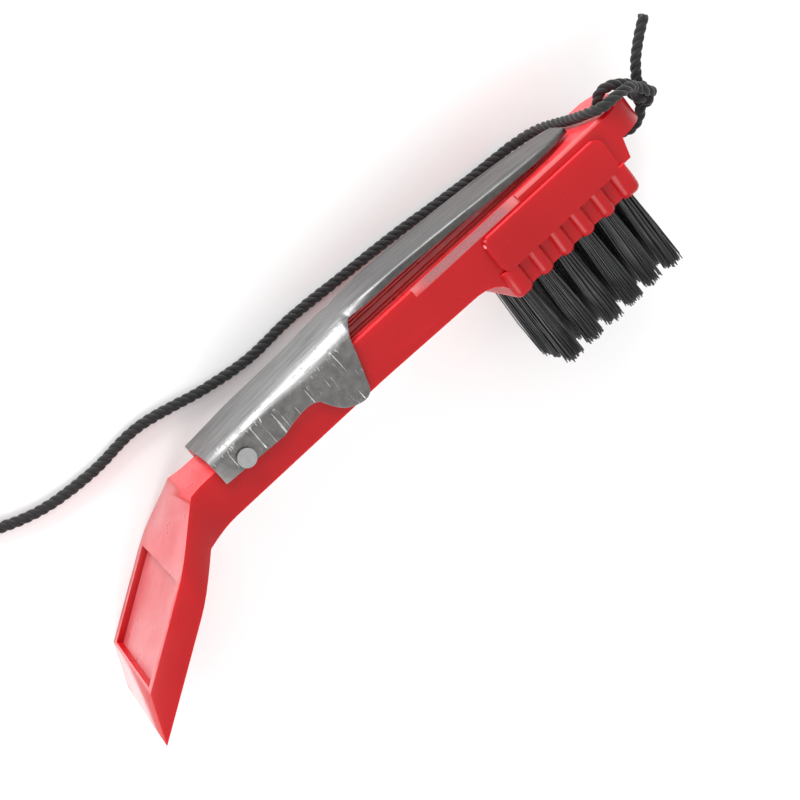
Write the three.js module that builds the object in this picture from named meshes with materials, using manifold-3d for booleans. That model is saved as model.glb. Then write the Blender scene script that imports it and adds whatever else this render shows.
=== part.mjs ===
// Club groove brush: a red moulded bar with a nylon brush block at one end and a
// bent scraper handle at the other, and a sprung sheet-steel clip on its back.
//
// Millimetres. The brush lies on its far side:
//   X  along the bar, from the handle to the head
//   Y  towards the clip (the bristles point along -Y)
//   Z  up, across the width of the bar
// The part is drawn about the corner where the handle bends away from the bar, and
// the whole group is then shifted so that the origin is the bottom centre of its box.

import * as THREE from 'three';
import { mergeVertices } from 'three/addons/utils/BufferGeometryUtils.js';
import Module from 'manifold-3d';

const wasm = await Module();
wasm.setup();

// ---------------------------------------------------------------- dimensions

const GAP = 0.3;                        // clearance between separate pieces

// bar
const BAR_HALF = 8.25;                  // half the width
const BACK = 5.0;                       // height of the flat back face
const BEND = [-7.4, -3.1];              // outer corner of the bend
const FRONT_FLAT = 33.0;                // the front edge is straight up to here
const FRONT_END = [55.0, -3.65];        // from here it curves down to the skirt
const NOSE_X = 99.0;                    // end of the nose beyond the block
const NOSE_FRONT = -0.4;                // underside of the nose
const NOSE_STEP = 3.6;                  // the bar inside the block is this much deeper
const NOSE_ROUND = 6.0;                 // corner radius of the nose seen from the back
const WIDE_BEVEL = { size: 1.35, x: [46.5, 71.0] };     // sloping edges of the back
const FINE_BEVEL = { size: 0.6, x: [70.0, 100.0] };
const RIB_Z = [2.0, 4.1, 6.2];          // fine ribs along each half of the back
const RIB_SIZE = [0.45, 0.2];           // across, high
const RIB_SPAN = [14.0, 80.0];

// handle
const HANDLE_TIP = [-34.1, -20.9];      // the scraping edge
const HANDLE_THICK = 4.9;
const CHISEL_LENGTH = 7.8;              // length of the slanted end face
const HANDLE_HALF = 17.0;
const FLARE = [-16.0, -0.5];            // the handle widens between these stations
const RECESS_DEPTH = 1.2;
const RECESS_BORDER = 2.2;
const RECESS_END = 0.7;                 // rim between the recess and the end face
const RECESS_LENGTH = 17.0;

// brush block
const BLOCK_X = [60.9, 88.7];
const BLOCK_Y = [-4.0, 3.2];
const BLOCK_HALF = 9.5;
const BLOCK_ROUND = 1.7;
const SKIRT_X = [60.0, 90.0];
const SKIRT_Y = [-9.2, -3.7];
const SKIRT_HALF = 8.3;                 // at the bottom of the grooves
const SKIRT_RISE = 0.7;                 // the lobes reach this far below the rest
const LOBE_OUT = 1.1;                   // how far each lobe stands out of the grooves
const LOBE_HALF = 1.6;
const LOBE_ROUND = 1.2;                 // rounding of the foot of each lobe

// tufts
const TUFT_COLUMNS = 6;
const TUFT_ROWS = 3;
const TUFT_PITCH = 5.0;
const TUFT_ROW_PITCH = 5.2;
const TUFT_RADIUS = 1.55;
const TUFT_SPLAY = 1.3;                 // tip radius over root radius
const TUFT_TIP = -24.9;
const TUFT_HOLE_TOP = -4.6;
const TUFT_FIRST_X = (SKIRT_X[0] + SKIRT_X[1] - (TUFT_COLUMNS - 1) * TUFT_PITCH) / 2;
const TUFT_BRIDGE = 0.8;                // thickness of the fold over the anchor
const ANCHOR = [2.6, 1.2, 0.35];        // flat wire that holds each tuft in its hole

// clip lever
const SHEET = 0.6;
const CLIP_HALF = 9.3;
const CLIP_X = [1.7, 86.8];
const CLIP_CORNER = 2.4;
const TONGUE_HALF = 7.0;
const TONGUE_TIP_HALF = 2.0;
const TIP_START = 62.0;                 // the tongue narrows from here to its tip
const EAR_FRONT = 34.3;
const SHOULDER = 2.6;                   // length over which the ears narrow to the tongue
const TONGUE_FLAT = 8.0;                // length of the tongue before it starts to fall
const CLIP_TAIL_TOP = 7.7;
const CLIP_EAR_TOP = 9.9;
const CLIP_TIP_TOP = 6.8;
const WALL_DEPTH = 14.0;

// hinge
const PIVOT = [7.0, 3.6];
const PIN_RADIUS = 1.0;
const PIN_HALF = 9.75;
const PIN_HEAD_RADIUS = 1.7;
const PIN_HEAD = 0.5;
const PIN_FIT = 0.05;
const SPRING_WIRE = 0.35;               // radius of the wire
const SPRING_COIL = 1.75;               // radius of the coil's centreline
const SPRING_TURNS = 4.5;
const POCKET = { x: [2.4, 10.2], half: 2.6, floor: 1.3 };

// cord
const CORD_RADIUS = 0.95;
const EYELET = [95.3, 0.0];             // hole through the nose, in x and z
const EYELET_RADIUS = 1.7;
const CORD_LOW = -HANDLE_HALF + CORD_RADIUS + 0.05;     // centreline on the floor
const KNOT = [102.3, 1.4, 1.6];
const KNOT_SIZE = [2.2, 3.0, 2.2];      // half sizes
const CORD_TAIL = [[103.6, 4.6, 2.4], [104.9, 6.8, 3.0], [107.8, 9.8, 3.6], [110.6, 12.1, 4.0]];
const CORD_LOOP = [
  [101.1, 4.7, 1.8], [99.0, 6.15, 1.7], [96.9, 6.4, 1.1], [95.6, 5.3, 0.3], [95.3, 3.6, 0],
  [95.3, 0.4, 0], [95.6, -1.6, 0.1], [97.0, -2.4, 0.4], [98.8, -2.3, 0.9], [100.6, -1.2, 1.3],
];
const CORD_RUN = [
  [101.2, 3.9, 5.2], [99.0, 5.4, 7.6], [96.0, 6.0, 8.7], [92.8, 6.2, 8.4], [90.8, 6.4, 5.4],
  [89.6, 6.2, 0.2], [88.5, 6.2, -5.2], [86.8, 6.2, -10.4], [83.4, 6.0, -14.4],
  [79.0, 6.0, CORD_LOW + 0.2], [73.0, 6.3, CORD_LOW], [65.0, 7.1, CORD_LOW],
  [57.0, 8.0, CORD_LOW], [43.0, 9.0, CORD_LOW], [31.0, 9.7, CORD_LOW], [21.0, 9.4, CORD_LOW],
  [12.0, 10.6, CORD_LOW], [-2.0, 13.7, CORD_LOW], [-13.0, 13.2, CORD_LOW],
  [-24.0, 14.4, CORD_LOW], [-34.0, 18.4, CORD_LOW], [-41.0, 22.4, CORD_LOW],
];
const COIL_CENTRE = [-54.5, 15.5];
const COIL_RADIUS = 10.5;               // to the middle of the turns
const COIL_BAND = 2.2;                  // half the width of the band of turns
const COIL_HEIGHT = 3.8;

// ---------------------------------------------------------------- materials

const finish = (color, roughness, metalness) =>
  new THREE.MeshStandardMaterial({ color, roughness, metalness });
const RED = finish(0xc8202c, 0.28, 0.0);
const STEEL = finish(0x9a9d9e, 0.38, 1.0);
const SPRING_STEEL = finish(0x6c6e70, 0.35, 1.0);
const BRASS = finish(0xb08d4a, 0.35, 1.0);
const NYLON = finish(0x1d1d20, 0.6, 0.0);
const CORD = finish(0x202022, 0.9, 0.0);

// ---------------------------------------------------------------- helpers

function solid(geometry) {
  const bare = geometry.clone();
  bare.deleteAttribute('normal');
  bare.deleteAttribute('uv');
  const welded = mergeVertices(bare, 1e-4);
  return new wasm.Manifold(new wasm.Mesh({
    numProp: 3,
    vertProperties: new Float32Array(welded.attributes.position.array),
    triVerts: new Uint32Array(welded.index.array),
  }));
}

function geometryOf(manifold) {
  const mesh = manifold.getMesh();
  const geometry = new THREE.BufferGeometry();
  geometry.setAttribute('position', new THREE.BufferAttribute(mesh.vertProperties, 3));
  geometry.setIndex(new THREE.BufferAttribute(mesh.triVerts, 1));
  geometry.computeVertexNormals();
  return geometry;
}

const group = new THREE.Group();
group.name = 'club_groove_brush';

function addNode(name, shape, material) {
  const geometry = shape instanceof THREE.BufferGeometry ? shape : geometryOf(shape);
  const mesh = new THREE.Mesh(geometry, material);
  mesh.name = name;
  group.add(mesh);
}

const join = (shapes) => shapes.reduce((a, b) => a.add(b));

function shapeOf(points) {
  return new THREE.Shape(points.map(([x, y]) => new THREE.Vector2(x, y)));
}

// An outline in X and Y, made solid from z = -half to z = +half.
function slab(outline, half, steps = 1) {
  const shape = outline instanceof THREE.Shape ? outline : shapeOf(outline);
  const options = { depth: 2 * half, bevelEnabled: false, curveSegments: 5, steps };
  return solid(new THREE.ExtrudeGeometry(shape, options).translate(0, 0, -half));
}

// An outline in X and Z, made solid from y = bottom to y = top.
function column(outline, bottom, top) {
  const shape = outline instanceof THREE.Shape ? outline : shapeOf(outline);
  const options = { depth: top - bottom, bevelEnabled: false, curveSegments: 5 };
  const geometry = new THREE.ExtrudeGeometry(shape, options);
  return solid(geometry.rotateX(Math.PI / 2).translate(0, top, 0));
}

function box([x0, x1], [y0, y1], [z0, z1]) {
  const geometry = new THREE.BoxGeometry(x1 - x0, y1 - y0, z1 - z0);
  return solid(geometry.translate((x0 + x1) / 2, (y0 + y1) / 2, (z0 + z1) / 2));
}

function rod(radius, [x, y], [z0, z1], sides = 20) {
  const geometry = new THREE.CylinderGeometry(radius, radius, z1 - z0, sides);
  return solid(geometry.rotateX(Math.PI / 2).translate(x, y, (z0 + z1) / 2));
}

function post(bottomRadius, topRadius, [x, z], [y0, y1], sides) {
  const geometry = new THREE.CylinderGeometry(topRadius, bottomRadius, y1 - y0, sides);
  return solid(geometry.translate(x, (y0 + y1) / 2, z));
}

function roundedRectangle([x0, x1], [y0, y1], radius) {
  const shape = new THREE.Shape();
  shape.moveTo(x0 + radius, y0);
  shape.lineTo(x1 - radius, y0);
  shape.absarc(x1 - radius, y0 + radius, radius, -Math.PI / 2, 0);
  shape.lineTo(x1, y1 - radius);
  shape.absarc(x1 - radius, y1 - radius, radius, 0, Math.PI / 2);
  shape.lineTo(x0 + radius, y1);
  shape.absarc(x0 + radius, y1 - radius, radius, Math.PI / 2, Math.PI);
  shape.lineTo(x0, y0 + radius);
  shape.absarc(x0 + radius, y0 + radius, radius, Math.PI, Math.PI * 1.5);
  return shape;
}

function tube(points, radius, { sides = 8, steps = 40 } = {}) {
  const curve = new THREE.CatmullRomCurve3(points.map((p) => new THREE.Vector3(...p)));
  curve.curveType = 'centripetal';
  const ring = [];
  for (let i = 0; i < sides; i += 1) {
    const angle = (2 * Math.PI * i) / sides;
    ring.push([radius * Math.cos(angle), radius * Math.sin(angle)]);
  }
  const options = { extrudePath: curve, steps, bevelEnabled: false };
  return solid(new THREE.ExtrudeGeometry(shapeOf(ring), options));
}

const smooth = (t) => {
  const s = Math.min(Math.max(t, 0), 1);
  return s * s * (3 - 2 * s);
};
const mix = (a, b, t) => a + (b - a) * t;

// ---------------------------------------------------------------- handle frame

const bendAngle = Math.atan2(BEND[1] - HANDLE_TIP[1], BEND[0] - HANDLE_TIP[0]);
const alongHandle = [Math.cos(bendAngle), Math.sin(bendAngle)];
const outOfHandle = [-Math.sin(bendAngle), Math.cos(bendAngle)];

// A point on the handle: distance from the scraping edge, height above the front face.
function onHandle(distance, height) {
  return [
    HANDLE_TIP[0] + alongHandle[0] * distance + outOfHandle[0] * height,
    HANDLE_TIP[1] + alongHandle[1] * distance + outOfHandle[1] * height,
  ];
}

// where the inner face of the handle meets the back of the bar
const kneeDistance = (BACK - onHandle(0, HANDLE_THICK)[1]) / alongHandle[1];
const KNEE = onHandle(kneeDistance, HANDLE_THICK);

// ---------------------------------------------------------------- body

function sideOutline() {
  const skirtFoot = SKIRT_Y[0] + SKIRT_RISE + 0.5;
  const shape = new THREE.Shape();
  shape.moveTo(...HANDLE_TIP);
  shape.lineTo(...BEND);
  shape.lineTo(FRONT_FLAT, BEND[1]);
  shape.lineTo(...FRONT_END);
  shape.quadraticCurveTo(SKIRT_X[0] - 0.2, FRONT_END[1] - 0.4, SKIRT_X[0] + 0.6, skirtFoot);
  shape.lineTo(SKIRT_X[0] + 4, skirtFoot);
  shape.lineTo(SKIRT_X[0] + 4, NOSE_FRONT - NOSE_STEP);
  shape.lineTo(SKIRT_X[1] + 1.6, NOSE_FRONT - NOSE_STEP);
  shape.lineTo(SKIRT_X[1] + 2.6, NOSE_FRONT);
  shape.lineTo(NOSE_X, NOSE_FRONT);
  shape.lineTo(NOSE_X, BACK - 0.8);
  shape.lineTo(NOSE_X - 0.8, BACK);
  shape.lineTo(...KNEE);
  shape.lineTo(...onHandle(CHISEL_LENGTH, HANDLE_THICK));
  return shape;
}

// Seen from the back: a wide handle that narrows to the bar, and a rounded nose.
function backOutline() {
  const near = [];
  const FLARE_STEPS = 10;
  near.push([HANDLE_TIP[0] - 1, HANDLE_HALF]);
  for (let i = 0; i <= FLARE_STEPS; i += 1) {
    const t = i / FLARE_STEPS;
    near.push([mix(FLARE[0], FLARE[1], t), mix(HANDLE_HALF, BAR_HALF, smooth(t))]);
  }
  const NOSE_STEPS = 6;
  for (let i = 0; i <= NOSE_STEPS; i += 1) {
    const angle = (Math.PI / 2) * (1 - i / NOSE_STEPS);
    near.push([
      NOSE_X - NOSE_ROUND + NOSE_ROUND * Math.cos(angle),
      BAR_HALF - NOSE_ROUND + NOSE_ROUND * Math.sin(angle),
    ]);
  }
  const far = near.map(([x, z]) => [x, -z]).reverse();
  return near.concat(far);
}

// An outline in Z and Y, made solid from x = from to x = to.
function alongBar(outline, [from, to]) {
  const shape = shapeOf(outline.map(([z, y]) => [-z, y]));
  const geometry = new THREE.ExtrudeGeometry(shape, { depth: to - from, bevelEnabled: false });
  return solid(geometry.rotateY(Math.PI / 2).translate(from, 0, 0));
}

// What is cut away to slope one edge of the back.
function backBevel(side, { size, x }) {
  const beyond = 0.4;
  const inner = side * (BAR_HALF - size);
  const outer = side * (BAR_HALF + beyond);
  const low = BACK - size - beyond;
  const outline = [[inner, BACK], [outer, low], [outer, BACK + 1], [inner, BACK + 1]];
  return alongBar(side > 0 ? outline.reverse() : outline, x);
}

function tuftPlaces() {
  const places = [];
  for (let row = 0; row < TUFT_ROWS; row += 1) {
    for (let col = 0; col < TUFT_COLUMNS; col += 1) {
      const x = TUFT_FIRST_X + col * TUFT_PITCH;
      const z = (row - (TUFT_ROWS - 1) / 2) * TUFT_ROW_PITCH;
      places.push({ x, z, name: `${row + 1}_${col + 1}` });
    }
  }
  return places;
}

// One finger of the skirt, from side to side of the brush, rounded at its foot.
function lobe([left, right]) {
  const half = SKIRT_HALF + LOBE_OUT;
  const outline = roundedRectangle(
    [left + LOBE_ROUND, right - LOBE_ROUND], [LOBE_ROUND - half, half - LOBE_ROUND], 0.3);
  const tall = SKIRT_Y[1] - SKIRT_Y[0];
  const geometry = new THREE.ExtrudeGeometry(outline, {
    depth: tall,
    bevelSize: LOBE_ROUND,
    bevelThickness: LOBE_ROUND,
    bevelSegments: 3,
    curveSegments: 3,
  });
  const foot = SKIRT_Y[0] + LOBE_ROUND;
  const finger = solid(geometry.rotateX(Math.PI / 2).translate(0, foot + tall, 0));
  return finger.intersect(box([left - 1, right + 1], SKIRT_Y, [-half - 1, half + 1]));
}

function skirt() {
  const core = roundedRectangle(SKIRT_X, [SKIRT_Y[0] + SKIRT_RISE, SKIRT_Y[1]], 1.4);
  const pieces = [slab(core, SKIRT_HALF)];
  for (let col = 0; col < TUFT_COLUMNS; col += 1) {
    const x = TUFT_FIRST_X + col * TUFT_PITCH;
    const left = col === 0 ? SKIRT_X[0] : x - LOBE_HALF;
    const right = col === TUFT_COLUMNS - 1 ? SKIRT_X[1] : x + LOBE_HALF;
    pieces.push(lobe([left, right]));
  }
  return join(pieces);
}

function body() {
  const bar = slab(sideOutline(), HANDLE_HALF + 1).intersect(column(backOutline(), -40, 20));
  const block = slab(roundedRectangle(BLOCK_X, BLOCK_Y, BLOCK_ROUND), BLOCK_HALF);
  const [ribAcross, ribHigh] = RIB_SIZE;
  const ribs = [...RIB_Z, ...RIB_Z.map((z) => -z)].map((z) =>
    box(RIB_SPAN, [BACK - 0.5, BACK + ribHigh], [z - ribAcross / 2, z + ribAcross / 2]));
  const red = join([bar, block, skirt(), ...ribs]);

  const cuts = [];
  for (const side of [-1, 1]) {
    cuts.push(backBevel(side, WIDE_BEVEL), backBevel(side, FINE_BEVEL));
  }
  // shallow recess in the inner face of the handle
  const recessStart = CHISEL_LENGTH + RECESS_END;
  const recessEnd = recessStart + RECESS_LENGTH;
  const recess = [
    onHandle(recessStart, HANDLE_THICK - RECESS_DEPTH),
    onHandle(recessEnd, HANDLE_THICK - RECESS_DEPTH),
    onHandle(recessEnd + RECESS_DEPTH, HANDLE_THICK + 1),
    onHandle(recessStart - 0.3, HANDLE_THICK + 1),
  ];
  cuts.push(slab(recess, HANDLE_HALF - RECESS_BORDER));

  // pocket for the spring, bore for the pin and the eyelet for the cord
  cuts.push(box(POCKET.x, [POCKET.floor, BACK + 1], [-POCKET.half, POCKET.half]));
  cuts.push(rod(PIN_RADIUS + PIN_FIT, PIVOT, [-BAR_HALF - 1, BAR_HALF + 1]));
  cuts.push(post(EYELET_RADIUS, EYELET_RADIUS, EYELET, [NOSE_FRONT - 1, BACK + 1], 20));

  for (const { x, z } of tuftPlaces()) {
    const radius = TUFT_RADIUS + GAP;
    cuts.push(post(radius, radius, [x, z], [SKIRT_Y[0] - 1, TUFT_HOLE_TOP], 12));
  }
  return red.subtract(join(cuts));
}

// ---------------------------------------------------------------- tufts

function tuft({ x, z }) {
  const mouth = SKIRT_Y[0];
  const root = post(TUFT_RADIUS, TUFT_RADIUS, [x, z], [mouth, TUFT_HOLE_TOP - GAP], 10);
  const tipRadius = TUFT_RADIUS * TUFT_SPLAY;
  const brush = post(tipRadius, TUFT_RADIUS, [x, z], [TUFT_TIP, mouth], 10);
  const [long, tall, thick] = ANCHOR;
  const top = TUFT_HOLE_TOP - GAP - TUFT_BRIDGE;
  const slot = box(
    [x - long, x + long],
    [top - tall - 2 * GAP, top],
    [z - thick / 2 - GAP, z + thick / 2 + GAP],
  );
  return root.add(brush).subtract(slot);
}

function anchor({ x, z }) {
  const [long, tall, thick] = ANCHOR;
  const top = TUFT_HOLE_TOP - 2 * GAP - TUFT_BRIDGE;
  return box([x - long / 2, x + long / 2], [top - tall, top], [z - thick / 2, z + thick / 2]);
}

// ---------------------------------------------------------------- clip lever

// Height of the outside of the sheet along the lever.
function clipTop(x) {
  if (x < EAR_FRONT) {
    return mix(CLIP_TAIL_TOP, CLIP_EAR_TOP, (x - CLIP_X[0]) / (EAR_FRONT - CLIP_X[0]));
  }
  const start = EAR_FRONT + TONGUE_FLAT;
  const t = Math.max(0, (x - start) / (CLIP_X[1] - start));
  return CLIP_EAR_TOP - (CLIP_EAR_TOP - CLIP_TIP_TOP) * t ** 1.4;
}

// Half width of the sheet along the lever: channel, tongue, rounded tip.
function clipHalf(x) {
  const shoulder = mix(CLIP_HALF, TONGUE_HALF, smooth((x - EAR_FRONT + 0.8) / SHOULDER));
  const t = Math.max(0, (x - TIP_START) / (CLIP_X[1] - TIP_START));
  return mix(shoulder, TONGUE_TIP_HALF, 1 - Math.sqrt(1 - (0.985 * t) ** 2.6));
}

// The channel section as an outline in Z and Y, open downwards.
function channelSection() {
  const outer = CLIP_HALF;
  const inner = CLIP_HALF - SHEET;
  const r = CLIP_CORNER;
  const shape = new THREE.Shape();
  shape.moveTo(-outer, -WALL_DEPTH);
  shape.lineTo(-outer, -r);
  shape.absarc(-outer + r, -r, r, Math.PI, Math.PI / 2, true);
  shape.lineTo(outer - r, 0);
  shape.absarc(outer - r, -r, r, Math.PI / 2, 0, true);
  shape.lineTo(outer, -WALL_DEPTH);
  shape.lineTo(inner, -WALL_DEPTH);
  shape.lineTo(inner, -r);
  shape.absarc(outer - r, -r, r - SHEET, 0, Math.PI / 2, false);
  shape.lineTo(-outer + r, -SHEET);
  shape.absarc(-outer + r, -r, r - SHEET, Math.PI / 2, Math.PI, false);
  shape.lineTo(-inner, -WALL_DEPTH);
  return shape;
}

// Everything the press tool leaves, seen from the side.
function clipSideOutline() {
  const shape = new THREE.Shape();
  shape.moveTo(CLIP_X[0] - 1, 20);
  shape.lineTo(CLIP_X[0] - 1, 2.4);
  shape.lineTo(14.3, 1.8);
  shape.quadraticCurveTo(20.6, 3.6, 22.4, 1.9);
  shape.quadraticCurveTo(24.0, -1.4, 25.4, -2.2);
  shape.quadraticCurveTo(29.9, -4.6, 30.6, -1.2);
  shape.lineTo(32.4, 4.2);
  shape.quadraticCurveTo(33.2, 7.6, 35.2, 8.3);
  shape.lineTo(46.0, 8.35);
  shape.quadraticCurveTo(62.0, 7.5, 78.0, 6.2);
  shape.lineTo(CLIP_X[1] + 1, 5.7);
  shape.lineTo(CLIP_X[1] + 1, 20);
  return shape;
}

function clipLever() {
  const STATIONS = 34;
  const length = CLIP_X[1] - CLIP_X[0];
  const options = { depth: length, bevelEnabled: false, curveSegments: 4, steps: STATIONS };
  const sheet = new THREE.ExtrudeGeometry(channelSection(), options);
  sheet.rotateY(Math.PI / 2).translate(CLIP_X[0], 0, 0);
  const place = sheet.attributes.position;
  for (let i = 0; i < place.count; i += 1) {
    const x = place.getX(i);
    place.setY(i, place.getY(i) + clipTop(x));
    place.setZ(i, place.getZ(i) * (clipHalf(x) / CLIP_HALF));
  }
  const bore = rod(PIN_RADIUS + 0.08, PIVOT, [-CLIP_HALF - 1, CLIP_HALF + 1]);
  return solid(sheet).intersect(slab(clipSideOutline(), CLIP_HALF + 1)).subtract(bore);
}

// ---------------------------------------------------------------- hinge

function pivotPin() {
  return join([
    rod(PIN_RADIUS, PIVOT, [-PIN_HALF, PIN_HALF]),
    rod(PIN_HEAD_RADIUS, PIVOT, [PIN_HALF - 0.1, PIN_HALF + PIN_HEAD]),
    rod(PIN_HEAD_RADIUS, PIVOT, [-PIN_HALF - PIN_HEAD, -PIN_HALF + 0.1]),
  ]);
}

// A close-wound torsion spring on the pin: one leg lies on the floor of the pocket,
// the other pushes the tail of the lever away from the bar.
function torsionSpring() {
  const STEPS_PER_TURN = 12;
  const pitch = 2 * SPRING_WIRE + 0.12;
  const half = (SPRING_TURNS * pitch) / 2;
  const steps = SPRING_TURNS * STEPS_PER_TURN;
  const tail = POCKET.x[0] + 0.9;
  const lower = PIVOT[1] - SPRING_COIL;
  const upper = clipTop(tail) - SHEET - SPRING_WIRE - 0.15;
  const points = [[tail, lower, -half], [mix(tail, PIVOT[0], 0.6), lower, -half]];
  for (let i = 0; i <= steps; i += 1) {
    const angle = -Math.PI / 2 + (2 * Math.PI * i) / STEPS_PER_TURN;
    points.push([
      PIVOT[0] + SPRING_COIL * Math.cos(angle),
      PIVOT[1] + SPRING_COIL * Math.sin(angle),
      -half + (pitch * i) / STEPS_PER_TURN,
    ]);
  }
  points.push([tail, upper, half]);
  return tube(points, SPRING_WIRE, { sides: 6, steps: points.length * 2 });
}

// ---------------------------------------------------------------- cord

function knot() {
  const ball = new THREE.SphereGeometry(1, 12, 8);
  return solid(ball.scale(...KNOT_SIZE).rotateZ(0.4).translate(...KNOT));
}

function coil() {
  const inner = COIL_RADIUS - COIL_BAND;
  const outer = COIL_RADIUS + COIL_BAND;
  const low = -HANDLE_HALF + 0.02;
  const top = low + COIL_HEIGHT;
  const soft = 0.8;
  const profile = [
    [inner + soft, low], [outer - soft, low], [outer, low + soft], [outer, top - soft],
    [outer - soft, top], [inner + soft, top], [inner, top - soft], [inner, low + soft],
    [inner + soft, low],
  ].map(([x, y]) => new THREE.Vector2(x, y));
  const ring = new THREE.LatheGeometry(profile, 28);
  return solid(ring.rotateX(Math.PI / 2).translate(...COIL_CENTRE, 0));
}

// ---------------------------------------------------------------- assembly

addNode('body', body(), RED);
for (const place of tuftPlaces()) {
  addNode(`tuft_${place.name}`, tuft(place), NYLON);
  addNode(`anchor_${place.name}`, anchor(place), BRASS);
}
addNode('clip_lever', clipLever(), STEEL);
addNode('pivot_pin', pivotPin(), SPRING_STEEL);
addNode('torsion_spring', torsionSpring(), SPRING_STEEL);

// origin: bottom centre of the brush itself, without its cord
const bounds = new THREE.Box3().setFromObject(group);
const centre = bounds.getCenter(new THREE.Vector3());

addNode('cord_loop', tube(CORD_LOOP, CORD_RADIUS, { steps: 24 }), CORD);
addNode('cord_knot', knot(), CORD);
addNode('cord_tail', tube(CORD_TAIL, CORD_RADIUS, { steps: 8 }), CORD);
addNode('cord_run', tube(CORD_RUN, CORD_RADIUS, { steps: 56 }), CORD);
addNode('cord_coil', coil(), CORD);

group.position.set(-centre.x, -centre.y, -bounds.min.z);
group.updateMatrixWorld(true);

export default group;
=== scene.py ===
"""Club groove brush: the looks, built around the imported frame.

Metres, in the row frame: X along the bar towards the head, Y towards the clip,
Z up. mm(x, y, z) turns the drawing's own millimetres, counted from the corner where
the handle bends away from the bar, into the row frame.
"""

import math
import random

import bmesh
import bpy
from mathutils import Matrix, Vector


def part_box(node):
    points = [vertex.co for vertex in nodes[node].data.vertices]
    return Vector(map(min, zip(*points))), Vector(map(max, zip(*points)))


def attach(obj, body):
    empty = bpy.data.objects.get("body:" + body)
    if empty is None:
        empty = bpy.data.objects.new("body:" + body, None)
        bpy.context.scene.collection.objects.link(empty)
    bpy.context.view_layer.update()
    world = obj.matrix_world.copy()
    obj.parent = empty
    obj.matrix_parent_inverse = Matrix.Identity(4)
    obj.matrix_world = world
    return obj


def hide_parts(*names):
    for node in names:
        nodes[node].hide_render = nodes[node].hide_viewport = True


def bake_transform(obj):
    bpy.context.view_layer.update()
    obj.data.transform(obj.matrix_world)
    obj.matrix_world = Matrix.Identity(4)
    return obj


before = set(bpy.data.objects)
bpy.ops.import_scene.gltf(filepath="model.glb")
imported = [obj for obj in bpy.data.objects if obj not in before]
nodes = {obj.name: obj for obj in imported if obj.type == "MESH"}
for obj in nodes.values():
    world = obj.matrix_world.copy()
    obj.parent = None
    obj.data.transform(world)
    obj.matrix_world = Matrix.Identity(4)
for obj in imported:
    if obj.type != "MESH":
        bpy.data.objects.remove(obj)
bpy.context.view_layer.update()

# ------------------------------------------------------------------ datum

BODY_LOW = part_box("body")[0]
CLIP_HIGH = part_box("clip_lever")[1]
HANDLE_REACH = 0.0341                   # the handle's end lies this far before the datum
CLIP_RISE = 0.0099                      # the clip's highest point above the datum
HANDLE_HALF = 17.0                      # half the width of the handle, in mm
DATUM = Vector((
    BODY_LOW.x + HANDLE_REACH,
    CLIP_HIGH.y - CLIP_RISE,
    BODY_LOW.z + HANDLE_HALF / 1000,
))


def mm(x, y, z):
    return DATUM + Vector((x, y, z)) / 1000


def lerp(a, b, t):
    return a + (b - a) * t


def smooth(t):
    t = min(max(t, 0.0), 1.0)
    return t * t * (3 - 2 * t)


# ------------------------------------------------------------------ camera

CAMERA_AIM = mm(34.37, -10.38, 0.0)
CAMERA_DISTANCE = 0.3215
CAMERA_RIGHT = Vector((0.7224, -0.6128, 0.3202))
CAMERA_BACK = Vector((-0.1560, 0.3067, 0.9389))
CAMERA_LENS, CAMERA_SENSOR = 83.1, 36.0
CAMERA_NEAR, CAMERA_FAR = 0.01, 20.0


def add_camera():
    back = CAMERA_BACK.normalized()
    up = back.cross(CAMERA_RIGHT).normalized()
    right = up.cross(back)
    data = bpy.data.cameras.new("camera")
    data.lens = CAMERA_LENS
    data.sensor_width = CAMERA_SENSOR
    data.clip_start = CAMERA_NEAR
    data.clip_end = CAMERA_FAR
    camera = bpy.data.objects.new("camera", data)
    place = Matrix((right, up, back)).transposed().to_4x4()
    place.translation = CAMERA_AIM + back * CAMERA_DISTANCE
    camera.matrix_world = place
    bpy.context.scene.collection.objects.link(camera)
    bpy.context.scene.camera = camera


add_camera()
bpy.context.scene.view_settings.view_transform = "Standard"

# ------------------------------------------------------------------ node materials

# sockets of a Mix node: the factor, then its two inputs and its result by data type
MIX_FACTOR = 0
COLOR_UNDER, COLOR_OVER, COLOR_RESULT = 6, 7, 2
FLOAT_UNDER, FLOAT_OVER, FLOAT_RESULT = 2, 3, 0


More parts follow.
